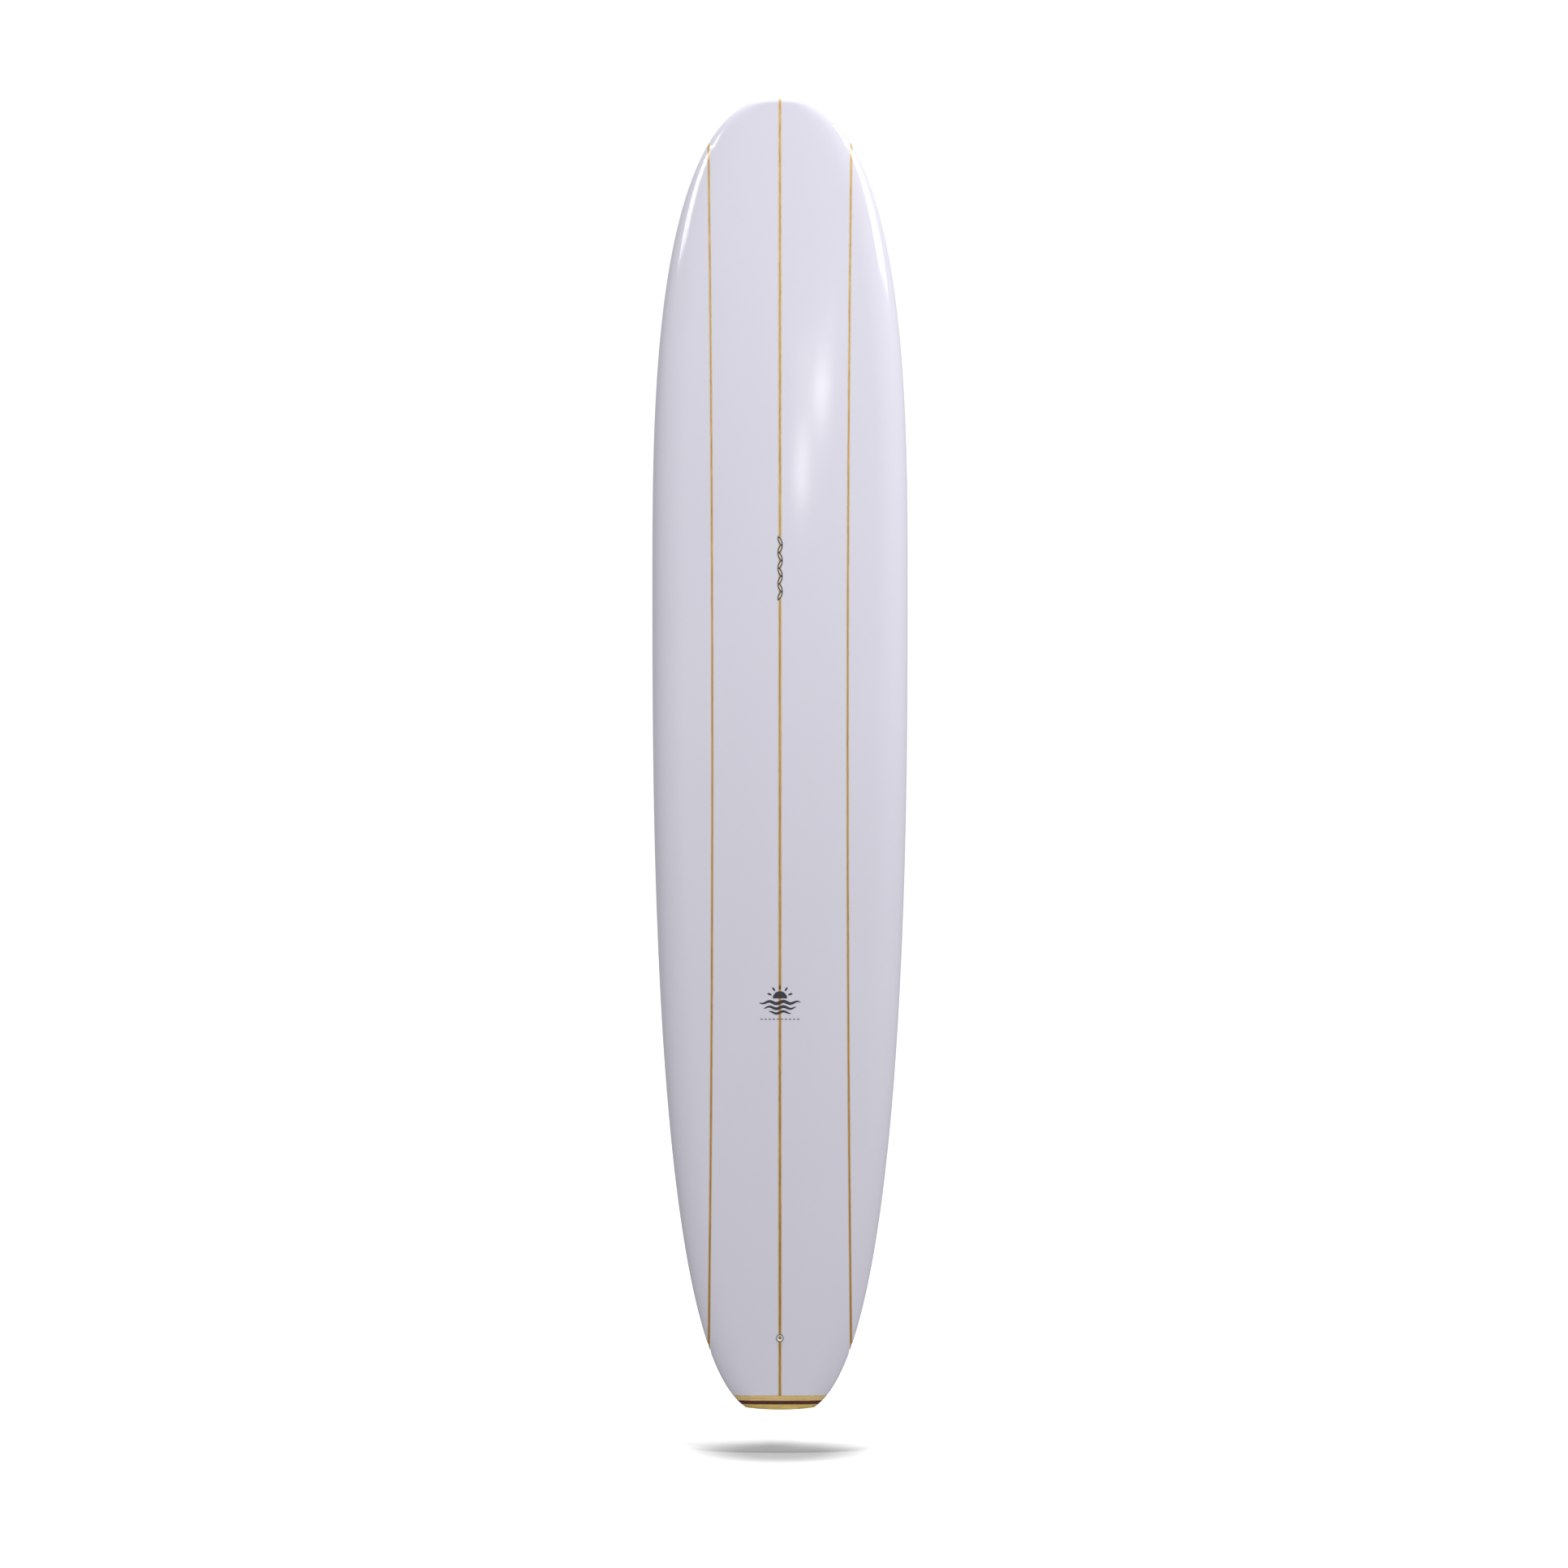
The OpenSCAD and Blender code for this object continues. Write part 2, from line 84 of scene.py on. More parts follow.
# Cross section
DECK_SHARE = 0.56
BOTTOM_SHARE = 1 - DECK_SHARE
DECK_DOME = 0.24
BOTTOM_BELLY = 0.10
RAIL_SIZE = 92

# How the cross sections crowd towards the tail block and the nose
TAIL_CROWDING = 1.3
NOSE_CROWDING = 2.6
LAST_STATION = 16 / 17

# Layers and strips
GLASS = 1.0
CORE_INSET = 1.5
GLUE = 0.08
RAIL_END = 1.985
LEAST_WIDTH = 0.8
FIRST_GAP = 0.3
LAST_GAP = 0.1
REAR_STRIP = 11.5
MIDDLE_STRIP = 8
FRONT_STRIP = 11.5
BLOCK = REAR_STRIP + MIDDLE_STRIP + FRONT_STRIP
HALF_CENTER = 4
CENTER_PLY = 2
SIDE_PLACE = 150
SIDE_BOW = 9
HALF_SIDE = 3
SIDE_PLY = 1.5

# Leash cup and fin box, and the pockets cut for them
CUP_PLACE = 157
CUP_HOLE = 16.5
CUP_DEPTH = 15.25
CUP_ABOVE = 5
BOX_PLACE = 315
BOX_SUNK = 1.1
POCKET_WIDTH = 25.5
POCKET_LENGTH = 267.5
POCKET_DEPTH = 25.25
POCKET_ABOVE = 8


# ---- shape of the board ----------------------------------------------------

def half_width(s, inset=0.0):
    """Half the width at s: one curve to the nose, one to the tail, then a corner."""
    if s > WIDE_POINT:
        t = (s - WIDE_POINT) / (LENGTH - inset - WIDE_POINT)
        return (WIDTH / 2 - inset) * max(0.0, 1 - t**NOSE_POWER) ** NOSE_FULLNESS
    t = (WIDE_POINT - s) / (WIDE_POINT + TAIL_REACH)
    outline = WIDTH / 2 * (1 - t**TAIL_POWER) ** TAIL_FULLNESS
    if s < CORNER_LENGTH:
        corner = TAIL_FLAT + CORNER_WIDTH * math.sqrt(1 - (1 - s / CORNER_LENGTH) ** 2)
        outline = min(outline, corner)
    return outline - inset


def toward_tail(s):
    return max(0.0, (APEX - s) / APEX)


def toward_nose(s):
    return max(0.0, (s - APEX) / (LENGTH - APEX))


def rocker(s):
    """Height of the bottom's centre line above its level part."""
    return (
        TAIL_ROCKER * toward_tail(s) ** TAIL_ROCKER_POWER
        + NOSE_ROCKER * toward_nose(s) ** NOSE_ROCKER_POWER
    )


def foil(s):
    """Thickness on the centre line."""
    return (
        THICKNESS
        - (THICKNESS - TAIL_END_THICKNESS) * toward_tail(s) ** TAIL_FOIL_POWER
        - (THICKNESS - NOSE_TIP_THICKNESS) * toward_nose(s) ** NOSE_FOIL_POWER
    )


def rail_line(s):
    return rocker(s) + BOTTOM_SHARE * foil(s)


def tip_rounding(s, inset):
    past = max(0.0, s - (LENGTH - inset - NOSE_ROUNDING)) / NOSE_ROUNDING
    return math.sqrt(max(0.0, 1 - past * past))


def rail_depth(w):
    return RAIL_SIZE * w / (w + RAIL_SIZE)


def rail_start(w):
    return w - rail_depth(w)


def rail_shape(x, w):
    v = min(1.0, max(0.0, abs(x) - rail_start(w)) / rail_depth(w))
    return math.sqrt(1 - v * v)


def to_frame(x, s, h):
    """h is the height above the level part of the bottom, towards the deck."""
    return Vector((x, rail_line(0) - h, s))


def surface_point(side, x, s, inset=0.0):
    """A point of the deck (side 1) or the bottom (side -1)."""
    w = half_width(s, inset)
    share, bend = (DECK_SHARE, DECK_DOME) if side > 0 else (BOTTOM_SHARE, BOTTOM_BELLY)
    rise = (share * foil(s) - inset) * tip_rounding(s, inset)
    rise *= (1 - bend * (x / w) ** 2) * rail_shape(x, w)
    return to_frame(x, s, rail_line(s) + side * rise)


def place_of(x, w):
    """0 on the centre line, 1 where the rail curve starts, 2 at the rail."""
    start, depth = rail_start(w), rail_depth(w)
    if abs(x) < start:
        return x / start
    around = math.asin(min(1.0, (abs(x) - start) / depth)) / (math.pi / 2)
    return math.copysign(1 + around, x)


def x_of(place, w):
    """The reverse of place_of."""
    start, depth = rail_start(w), rail_depth(w)
    if abs(place) < 1:
        return place * start
    around = math.sin(math.pi / 2 * (abs(place) - 1))
    return math.copysign(start + depth * around, place)


def spread(first, last, steps):
    return [first + (last - first) * i / steps for i in range(steps + 1)]


def body_stations(inset):
    """Cross sections from the tail block to just short of the nose."""
    tail = [
        BLOCK + (WIDE_POINT - BLOCK) * t**TAIL_CROWDING
        for t in spread(0, 1, STATION_STEPS)
    ]
    reach = LENGTH - inset - WIDE_POINT
    nose = [
        WIDE_POINT + reach * (1 - (1 - t) ** NOSE_CROWDING)
        for t in spread(0, LAST_STATION, STATION_STEPS)
    ]
    return tail + nose[1:]


# ---- meshes ----------------------------------------------------------------

def finish_mesh(obj):
    """Normals outwards, smooth where the surface bends less than CREASE degrees."""
    work = bmesh.new()
    work.from_mesh(obj.data)
    bmesh.ops.recalc_face_normals(work, faces=work.faces)
    work.to_mesh(obj.data)
    work.free()
    obj.data.shade_smooth()
    obj.data.set_sharp_from_angle(angle=math.radians(CREASE))


def add_object(name, points, faces, material=None, place=None):
    """A mesh from points in millimetres, each moved by place if one is given."""
    mesh = bpy.data.meshes.new(name)
    if place is not None:
        points = [place(p) for p in points]
    mesh.from_pydata([Vector(p) * MM for p in points], [], faces)
    if material is not None:
        mesh.materials.append(material)
    obj = bpy.data.objects.new(name, mesh)
    bpy.context.collection.objects.link(obj)
    finish_mesh(obj)
    return obj


def combine(obj, operation, solid, place):
    """Boolean with a closed solid, given as its points and faces."""
    other = add_object("cutter", *solid, place=place)
    modifier = obj.modifiers.new("combine", "BOOLEAN")
    modifier.operation = operation
    modifier.solver = "EXACT"
    modifier.object = other
    graph = bpy.context.evaluated_depsgraph_get()
    result = bpy.data.meshes.new_from_object(obj.evaluated_get(graph))
    obj.modifiers.clear()
    obj.data = result
    bpy.data.objects.remove(other)
    finish_mesh(obj)


def loft(sections):
    """Points and faces of a closed solid through sections of equal length."""
    n = len(sections[0])
    points = [p for section in sections for p in section]
    faces = []
    for i in range(len(sections) - 1):
        for j in range(n):
            k = (j + 1) % n
            faces.append((i * n + j, (i + 1) * n + j, (i + 1) * n + k, i * n + k))
    faces.append(tuple(range(n)))
    faces.append(tuple(reversed(range(len(points) - n, len(points)))))
    return points, faces


def prism(outline, near, far):
    """An outline in x and z, drawn out along y."""
    return loft([[(x, y, z) for x, z in outline] for y in (near, far)])


def settle(obj, body, slot, *nodes):
    """Ride on a body, in place of the CAD nodes named."""
    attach(obj, body)
    if nodes:
        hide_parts(*nodes)


def slope(height, s):
    """Angle of a height along the board."""
    return math.atan((height(s + 1) - height(s - 1)) / 2)


box_turn = Matrix.Rotation(slope(rocker, BOX_PLACE), 3, "X")
box_origin = to_frame(0, BOX_PLACE, rocker(BOX_PLACE))
cup_turn = Matrix.Rotation(
    math.pi / 2 + slope(lambda s: rocker(s) + foil(s), CUP_PLACE), 3, "X"
)
cup_origin = surface_point(1, 0, CUP_PLACE)


def at_box(p):
    """+Y along the outward normal of the bottom, +Z towards the nose."""
    return box_origin + box_turn @ (Vector(p) - Vector((0, BOX_SUNK, 0)))


def at_cup(p):
    """+Z along the outward normal of the deck."""
    return cup_origin + cup_turn @ Vector(p)


def round_ended(width, length):
    """Outline of a slot with round ends, long along its second axis."""
    radius, reach = width / 2, (length - width) / 2
    half = spread(0, math.pi, ARC_STEPS)
    return [(radius * math.cos(a), reach + radius * math.sin(a)) for a in half] + [
        (-radius * math.cos(a), -reach - radius * math.sin(a)) for a in half
    ]


def circle(radius):
    turns = spread(0, 2 * math.pi, 2 * ARC_STEPS)[:-1]
    return [(radius * math.cos(a), radius * math.sin(a)) for a in turns]


def cut_pocket(obj):
    outline = round_ended(POCKET_WIDTH, POCKET_LENGTH)
    combine(obj, "DIFFERENCE", prism(outline, -POCKET_DEPTH, POCKET_ABOVE), at_box)


def cut_cup(obj):
    ring = circle(CUP_HOLE / 2)
    sections = [[(x, y, z) for x, y in ring] for z in (-CUP_DEPTH, CUP_ABOVE)]
    combine(obj, "DIFFERENCE", loft(sections), at_cup)


# ---- materials -------------------------------------------------------------

RESIN_COAT = {"Coat_Weight": 1.0, "Coat_Roughness": 0.09}
ACROSS_BOARD, ALONG_BOARD = 0, 2
FOAM_LIGHT = (0.835, 0.815, 0.925)
FOAM_SHADE = (0.815, 0.795, 0.905)

# Sockets of the Mix node in colour mode, whose names repeat
MIX_FACTOR, MIX_FIRST, MIX_SECOND, MIX_RESULT = 0, 6, 7, 2

# Noise cycles per metre, for the broad grain and the fine pores of wood
GRAIN_ACROSS, GRAIN_ALONG = 420.0, 7.0
PORES_ACROSS, PORES_ALONG = 1500.0, 45.0

class Paint:
    """A Principled material and the node links that colour it."""

    def __init__(self, name, roughness=0.5, **values):
        self.material = bpy.data.materials.new(name)
        self.material.use_nodes = True
        self.tree = self.material.node_tree
        self.shader = self.tree.nodes["Principled BSDF"]
        self.shader.inputs["Roughness"].default_value = roughness
        for key, value in values.items():
            self.shader.inputs[key.replace("_", " ")].default_value = value

    def node(self, kind, settings=None, **inputs):
        made = self.tree.nodes.new("ShaderNode" + kind)
        for key, value in (settings or {}).items():
            setattr(made, key, value)
        for key, value in inputs.items():
            socket = made.inputs[key.replace("_", " ")]
            if isinstance(value, bpy.types.NodeSocket):
                self.tree.links.new(value, socket)
            else:
                socket.default_value = value
        return made

    def place(self, scale):
        """Object coordinates, in metres, times a scale along each axis."""
        coordinates = self.node("TexCoord").outputs["Object"]
        return self.node("Mapping", Vector=coordinates, Scale=scale).outputs["Vector"]

    def noise(self, scale, detail=4.0, rough=0.6, distortion=0.0):
        return self.node(
            "TexNoise", Vector=self.place(scale), Scale=1.0, Detail=detail,
            Roughness=rough, Distortion=distortion,
        ).outputs["Fac"]

    def threads(self, direction, **values):
        """Bands across one axis, like the threads of a cloth."""
        return self.node(
            "TexWave", {"wave_type": "BANDS", "bands_direction": direction},
            Vector=self.place((1, 1, 1)), **values,
        ).outputs["Fac"]

    def ramp(self, factor, *stops):
        made = self.node("ValToRGB", Fac=factor)
        elements = made.color_ramp.elements
        while len(elements) < len(stops):
            elements.new(0.5)
        for element, (where, colour) in zip(elements, stops):
            element.position = where
            element.color = (*colour, 1)
        return made.outputs["Color"]

    def times(self, first, second):
        made = self.node("Mix", {"data_type": "RGBA", "blend_type": "MULTIPLY"})
        made.inputs[MIX_FACTOR].default_value = 1.0
        self.tree.links.new(first, made.inputs[MIX_FIRST])
        self.tree.links.new(second, made.inputs[MIX_SECOND])
        return made.outputs[MIX_RESULT]

    def colour(self, socket):
        self.tree.links.new(socket, self.shader.inputs["Base Color"])

    def bump(self, socket, strength, distance):
        made = self.node("Bump", Strength=strength, Distance=distance, Height=socket)
        self.tree.links.new(made.outputs["Normal"], self.shader.inputs["Normal"])


def grey(value):
    return (value, value, value)


def foam_material():
    """Faintly mottled foam with fine cells, under resin."""
    paint = Paint("foam", 0.55, Coat_IOR=1.5, **RESIN_COAT)
    mottle = paint.ramp(
        paint.noise((3, 3, 1.4), 3), (0.3, FOAM_SHADE), (0.7, FOAM_LIGHT)
    )
    cells = paint.ramp(paint.noise((700, 700, 700), 2), (0.35, grey(0.975)), (0.6, grey(1.0)))
    paint.colour(paint.times(mottle, cells))
    return paint.material


def wood_material(name, dark, light, along, tail_tint=None, coat=1.0):
    """Straight-grained wood under resin. The grain runs on the axis along, and a tint colour,
    where given, darkens the wood towards the tail."""
    paint = Paint(
        name, 0.45, Specular_IOR_Level=0.15,
        Coat_Weight=coat, Coat_Roughness=0.09, Coat_IOR=1.5,
    )
    broad, fine = [GRAIN_ACROSS] * 3, [PORES_ACROSS] * 3
    broad[along], fine[along] = GRAIN_ALONG, PORES_ALONG
    grain = paint.ramp(paint.noise(broad, 5, 0.65, 0.6), (0.32, dark), (0.66, light))
    pores = paint.ramp(paint.noise(fine, 3, 0.7), (0.36, grey(0.72)), (0.52, grey(1.0)))
    result = paint.times(grain, pores)
    if tail_tint:
        z = paint.node("SeparateXYZ", Vector=paint.place((1, 1, 1))).outputs["Z"]
        span = paint.node("MapRange", Value=z, From_Max=LENGTH * MM).outputs["Result"]
        result = paint.times(result, paint.ramp(span, (0.05, tail_tint), (0.9, grey(1.0))))
    paint.colour(result)
    paint.bump(paint.noise(fine, 3), 0.05, 0.0002)
    return paint.material


def laminate_material():
    """Clear resin over glass cloth: a thin film with a faint weave."""
    paint = Paint("clear_laminate", 0.06, Alpha=0.012, IOR=1.5)
    weave = paint.threads("X", Scale=180.0, Distortion=0.4)
    warp = paint.threads("Z", Scale=180.0, Distortion=0.4)
    paint.colour(
        paint.times(
            paint.ramp(weave, (0.0, (0.86, 0.87, 0.92)), (1.0, (0.97, 0.97, 1.0))),
            paint.ramp(warp, (0.0, (0.92, 0.93, 0.96)), (1.0, (1.0, 1.0, 1.0))),
        )
    )
    return paint.material


def plain_material(name, dark, light, scale, roughness, bump=0.04, **values):
    """One colour, slightly uneven in tone and surface."""
    paint = Paint(name, roughness, **values)
    texture = paint.noise(scale, 4)
    paint.colour(paint.ramp(texture, (0.3, dark), (0.7, light)))
    paint.bump(texture, bump, 0.0003)
    return paint.material


def fin_material():
    """Solid fibreglass: layers of woven cloth in slightly green resin."""
    paint = Paint("fin_laminate", 0.3, Coat_Weight=1.0, Coat_Roughness=0.05)
    thread = {"Scale": 170.0, "Distortion": 0.8, "Detail": 1.0}
    warp, weft = [
        paint.ramp(paint.threads(direction, **thread), (0.0, grey(0.72)), (1.0, grey(1.0)))
        for direction in ("Y", "Z")
    ]
    tint = paint.ramp(
        paint.noise((14, 14, 14), 4), (0.3, (0.30, 0.36, 0.17)), (0.72, (0.44, 0.49, 0.26))
    )
    paint.colour(paint.times(tint, paint.times(warp, weft)))
    return paint.material


foam = foam_material()
core_wood = wood_material(
    "stringer_wood", (0.58, 0.30, 0.09), (0.92, 0.58, 0.25), ALONG_BOARD, (0.62, 0.45, 0.22)
)
pale_ply = wood_material(
    "pale_ply", (0.80, 0.66, 0.36), (0.92, 0.82, 0.55), ALONG_BOARD, (0.84, 0.70, 0.42)
)
light_block = wood_material(
    "light_block_wood", (0.72, 0.47, 0.15), (1.0, 0.76, 0.33), ACROSS_BOARD
)
rear_block = wood_material(
    "rear_block_wood", (0.62, 0.40, 0.09), (0.95, 0.68, 0.18), ACROSS_BOARD
)
dark_block = wood_material(
    "dark_block_wood", (0.035, 0.004, 0.001), (0.16, 0.020, 0.003), ACROSS_BOARD, coat=0.4
)
laminate = laminate_material()
ink, grey_ink, pale_ink = [
    plain_material(name, dark, light, (900,) * 3, 0.4, **RESIN_COAT)
    for name, dark, light in (
        ("decal_ink", (0.004, 0.004, 0.010), (0.012, 0.012, 0.024)),
        ("decal_grey_ink", (0.10, 0.10, 0.13), (0.20, 0.20, 0.24)),
        ("decal_pale_ink", (0.62, 0.55, 0.42), (0.80, 0.76, 0.68)),
    )
]


# ---- foam, stringers and tail block ----------------------------------------

def side_line(s):
    """Distance of the side stringers from the centre, least at mid length."""
    return SIDE_PLACE + SIDE_BOW * ((s - LENGTH / 2) / (LENGTH / 2)) ** 2


def line_x(line, s):
    """A line [distance, 0] from the centre, or [distance, 1] from a side stringer."""
    return line[0] + line[1] * side_line(s)


RAIL = (WIDTH, 0)


def spare(line, s):
    """Room between a line and the rail."""
    return half_width(s, CORE_INSET) - line_x(line, s) - GLUE / 2


def line_end(line, inside, outside):
    """The last place from inside to outside where the board still holds the line."""
    for _ in range(30):
        middle = (inside + outside) / 2
        if spare(line, middle) > LEAST_WIDTH:
            inside = middle
        else:
            outside = middle
    return inside


def strip_stations(line):
    stations = body_stations(CORE_INSET)
    tip = stations[-1]
    first = BLOCK if spare(line, BLOCK) > LEAST_WIDTH else line_end(line, WIDE_POINT, BLOCK)
    last = tip if spare(line, tip) > LEAST_WIDTH else line_end(line, WIDE_POINT, tip)
    between = [s for s in stations if first + FIRST_GAP < s < last - LAST_GAP]
    return [first] + between + [last]


def strip_section(start, end, s, steps):
    w = half_width(s, CORE_INSET)
    place_a = place_of(line_x(start, s) + GLUE / 2, w)
    place_b = min(RAIL_END, place_of(line_x(end, s) - GLUE / 2, w))
    xs = [x_of(p, w) for p in spread(place_a, place_b, steps)]
    deck = [surface_point(1, x, s, CORE_INSET) for x in xs]
    bottom = [surface_point(-1, x, s, CORE_INSET) for x in reversed(xs)]
    return deck + bottom


def strip(name, start, end, steps, material, slot, mirrored=False, cuts=()):
    """A strip of the core from one line to another, on the right unless mirrored."""
    sections = [strip_section(start, end, s, steps) for s in strip_stations(start)]
    flip = (lambda p: Vector((-p[0], p[1], p[2]))) if mirrored else None
    obj = add_object(name + "_body", *loft(sections), material, flip)
    for cut in cuts:
        cut(obj)
    settle(obj, "board", slot, name)


both = (cut_pocket, cut_cup)
for side, mirrored in (("left", True), ("right", False)):
    strip(f"foam_{side}_rail", (HALF_SIDE, 1), RAIL, 30,
          foam, "foam", mirrored)
    strip(f"foam_{side}_center", (HALF_CENTER, 0), (-HALF_SIDE, 1), 12,
          foam, "foam", mirrored, both)
    strip(f"center_stringer_{side}_ply", (HALF_CENTER - CENTER_PLY, 0), (HALF_CENTER, 0), 1,
          pale_ply, "pale_ply", mirrored, both)
    strip(f"{side}_stringer_inner_ply", (-HALF_SIDE, 1), (SIDE_PLY - HALF_SIDE, 1), 1,
          pale_ply, "pale_ply", mirrored)
    strip(f"{side}_stringer_core", (SIDE_PLY - HALF_SIDE, 1), (HALF_SIDE - SIDE_PLY, 1), 2,
          core_wood, "stringer_wood", mirrored)
    strip(f"{side}_stringer_outer_ply", (HALF_SIDE - SIDE_PLY, 1), (HALF_SIDE, 1), 1,
          pale_ply, "pale_ply", mirrored)
strip("center_stringer_core", (CENTER_PLY - HALF_CENTER, 0), (HALF_CENTER - CENTER_PLY, 0), 4,
      core_wood, "stringer_wood", cuts=both)


def tail_strip(name, stations, material, slot):
    """A strip of the tail block, from rail to rail."""
    sections = []
    for s in stations:
        w = half_width(s, CORE_INSET)
        xs = [x_of(RAIL_END * p, w) for p in spread(-1, 1, 64)]
        deck = [surface_point(1, x, s, CORE_INSET) for x in xs]
        sections.append(deck + [surface_point(-1, x, s, CORE_INSET) for x in reversed(xs)])
    settle(add_object(name + "_body", *loft(sections), material), "board", slot, name)


rear_stations = [REAR_STRIP * t**2 for t in spread(0, 1, 24)]
seam = REAR_STRIP + MIDDLE_STRIP
tail_strip("tail_block_rear_strip", rear_stations, rear_block, "light_block_wood")
tail_strip("tail_block_middle_strip", spread(REAR_STRIP + GLUE, seam, 6),
           dark_block, "dark_block_wood")
tail_strip("tail_block_front_strip", spread(seam + GLUE, BLOCK - GLUE, 6),
           light_block, "light_block_wood")


# ---- clear skins -----------------------------------------------------------

def skin(name, side, cut):
    """One half of the hollow skin, open at the tail and closed at the nose."""
    flat_part = spread(-1, 1, 12)
    rail_part = spread(1, 2, 20)[1:]
    places = [-p for p in reversed(rail_part)] + flat_part + rail_part
    n = len(places)
    layers, tips = [], []
    for inset in (0.0, GLASS):
        stations = rear_stations + spread(REAR_STRIP, BLOCK, 4)[1:-1] + body_stations(inset)
        for s in stations:
            w = half_width(s, inset)
            layers += [surface_point(side, x_of(p, w), s, inset) for p in places]
        tips.append(to_frame(0, LENGTH - inset, rail_line(LENGTH - inset)))
    rows = len(stations)
    inside = rows * n
    outer_tip, inner_tip = 2 * inside, 2 * inside + 1
    faces = []
    for i in range(rows - 1):
        for j in range(n - 1):
            a = i * n + j
            faces.append((a, a + 1, a + n + 1, a + n))
            faces.append((inside + a + 1, inside + a, inside + a + n, inside + a + n + 1))
        a, b = i * n, i * n + n - 1
        faces.append((a, a + n, inside + a + n, inside + a))
        faces.append((b + n, b, inside + b, inside + b + n))
    for j in range(n - 1):
        last = (rows - 1) * n + j
        faces.append((j + 1, j, inside + j, inside + j + 1))
        faces.append((last, last + 1, outer_tip))
        faces.append((inside + last + 1, inside + last, inner_tip))
    first, end = (rows - 1) * n, rows * n - 1
    faces.append((first, outer_tip, inner_tip, inside + first))
    faces.append((outer_tip, end, inside + end, inner_tip))
    obj = add_object(name + "_body", layers + tips, faces, laminate)
    cut(obj)
    settle(obj, "board", "clear_laminate", name)


skin("deck_glass", 1, cut_cup)
skin("bottom_glass", -1, cut_pocket)


# ---- decals ----------------------------------------------------------------

ART_LOW, ART_HIGH = 1.35, 1.20
HEART_LOW, HEART_HIGH = 1.18, 1.10
STROKE_TRIM = 0.004
STROKE_STEP = 0.002
LEAST_STROKE = 0.15

SUN_PLACE, SUN_RADIUS, SUN_TOP = 906, 16, 0.995
RAY_START, RAY_LENGTH, RAY_WIDTH = 19.5, 10.5, 2.1
WAVE_HEIGHT, WAVE_LENGTH = 2.4, 31
DASH_PLACE, DASH_LENGTH, DASH_WIDTH = 860, 5.2, 1.1
FIRST_DASH, LAST_DASH = -43, 37.8

LEAVES, LEAF_SPACING = 8, 17.2
CHAIN_X, CHAIN_PLACE = 0.4, 1859
LEAN_ACROSS, LEAN_ALONG = 0.42, 0.91


def film(name, patches, low, high, material, *nodes):
    """Thin film on the deck. A patch is rows of (x, s) places."""
    points, faces = [], []
    for rows in patches:
        count, n = len(rows), len(rows[0])
        start = len(points)
        layer = count * n
        for inset in (low, high):
            points += [surface_point(1, x, s, inset) for row in rows for x, s in row]
        for i in range(count - 1):
            for j in range(n - 1):
                a = start + i * n + j
                faces.append((a, a + 1, a + n + 1, a + n))
                faces.append(tuple(layer + v for v in (a, a + n, a + n + 1, a + 1)))
        rim = [start + j for j in range(n)]
        rim += [start + i * n + n - 1 for i in range(1, count)]
        rim += [start + (count - 1) * n + j for j in range(n - 2, -1, -1)]
        rim += [start + i * n for i in range(count - 2, 0, -1)]
        for a, b in zip(rim, rim[1:] + rim[:1]):
            faces.append((b, a, a + layer, b + layer))
    obj = add_object(name, points, faces, material)
    settle(obj, "board", "decal_film", *nodes)


def stroke(line, half, steps, across=4):
    """Rows across a line of (x, s) places, half(t) wide on each side."""
    rows = []
    for t in spread(STROKE_TRIM, 1 - STROKE_TRIM, steps):
        x, s = line(t)
        ahead, behind = Vector(line(t + STROKE_STEP)), Vector(line(t - STROKE_STEP))
        way = (ahead - behind).normalized()
        rows.append([
            (x - way.y * half(t) * v, s + way.x * half(t) * v)
            for v in spread(-1, 1, across)
        ])
    return rows


def bulge(width, power=0.6):
    """Half widths of a stroke that is full in the middle and fine at its ends."""
    def half(t):
        return LEAST_STROKE + (width - LEAST_STROKE) * max(0.0, math.sin(math.pi * t)) ** power
    return half


def rising_sun():
    """The upper half of a disc."""
    rows = []
    for t in spread(0, SUN_TOP, 14):
        half = SUN_RADIUS * math.sqrt(1 - t * t)
        rows.append([(v * half, SUN_PLACE + t * SUN_RADIUS) for v in spread(-1, 1, 8)])
    return rows


def ray(degrees):
    way = Vector((math.cos(math.radians(degrees)), math.sin(math.radians(degrees))))
    sun = Vector((0, SUN_PLACE))
    return stroke(
        lambda t: tuple(sun + way * (RAY_START + RAY_LENGTH * t)), bulge(RAY_WIDTH), 14
    )


def wave(place, reach, thick):
    def line(t):
        x = reach * (2 * t - 1)
        return x, place + WAVE_HEIGHT * math.sin(2 * math.pi * x / WAVE_LENGTH)
    return stroke(line, bulge(thick), 72)


def dash(x):
    return stroke(lambda t: (x + DASH_LENGTH * t, DASH_PLACE), lambda t: DASH_WIDTH, 4, 2)


def leaf(number, length, width, steps):
    """One of a chain of strokes that lean left and right in turn."""
    along = CHAIN_PLACE + (number - (LEAVES - 1) / 2) * LEAF_SPACING
    middle = Vector((CHAIN_X, along))
    lean = Vector((LEAN_ACROSS * (-1) ** number, LEAN_ALONG))
    return stroke(
        lambda t: tuple(middle + lean * length * (t - 0.5)), bulge(width, 0.8), steps
    )


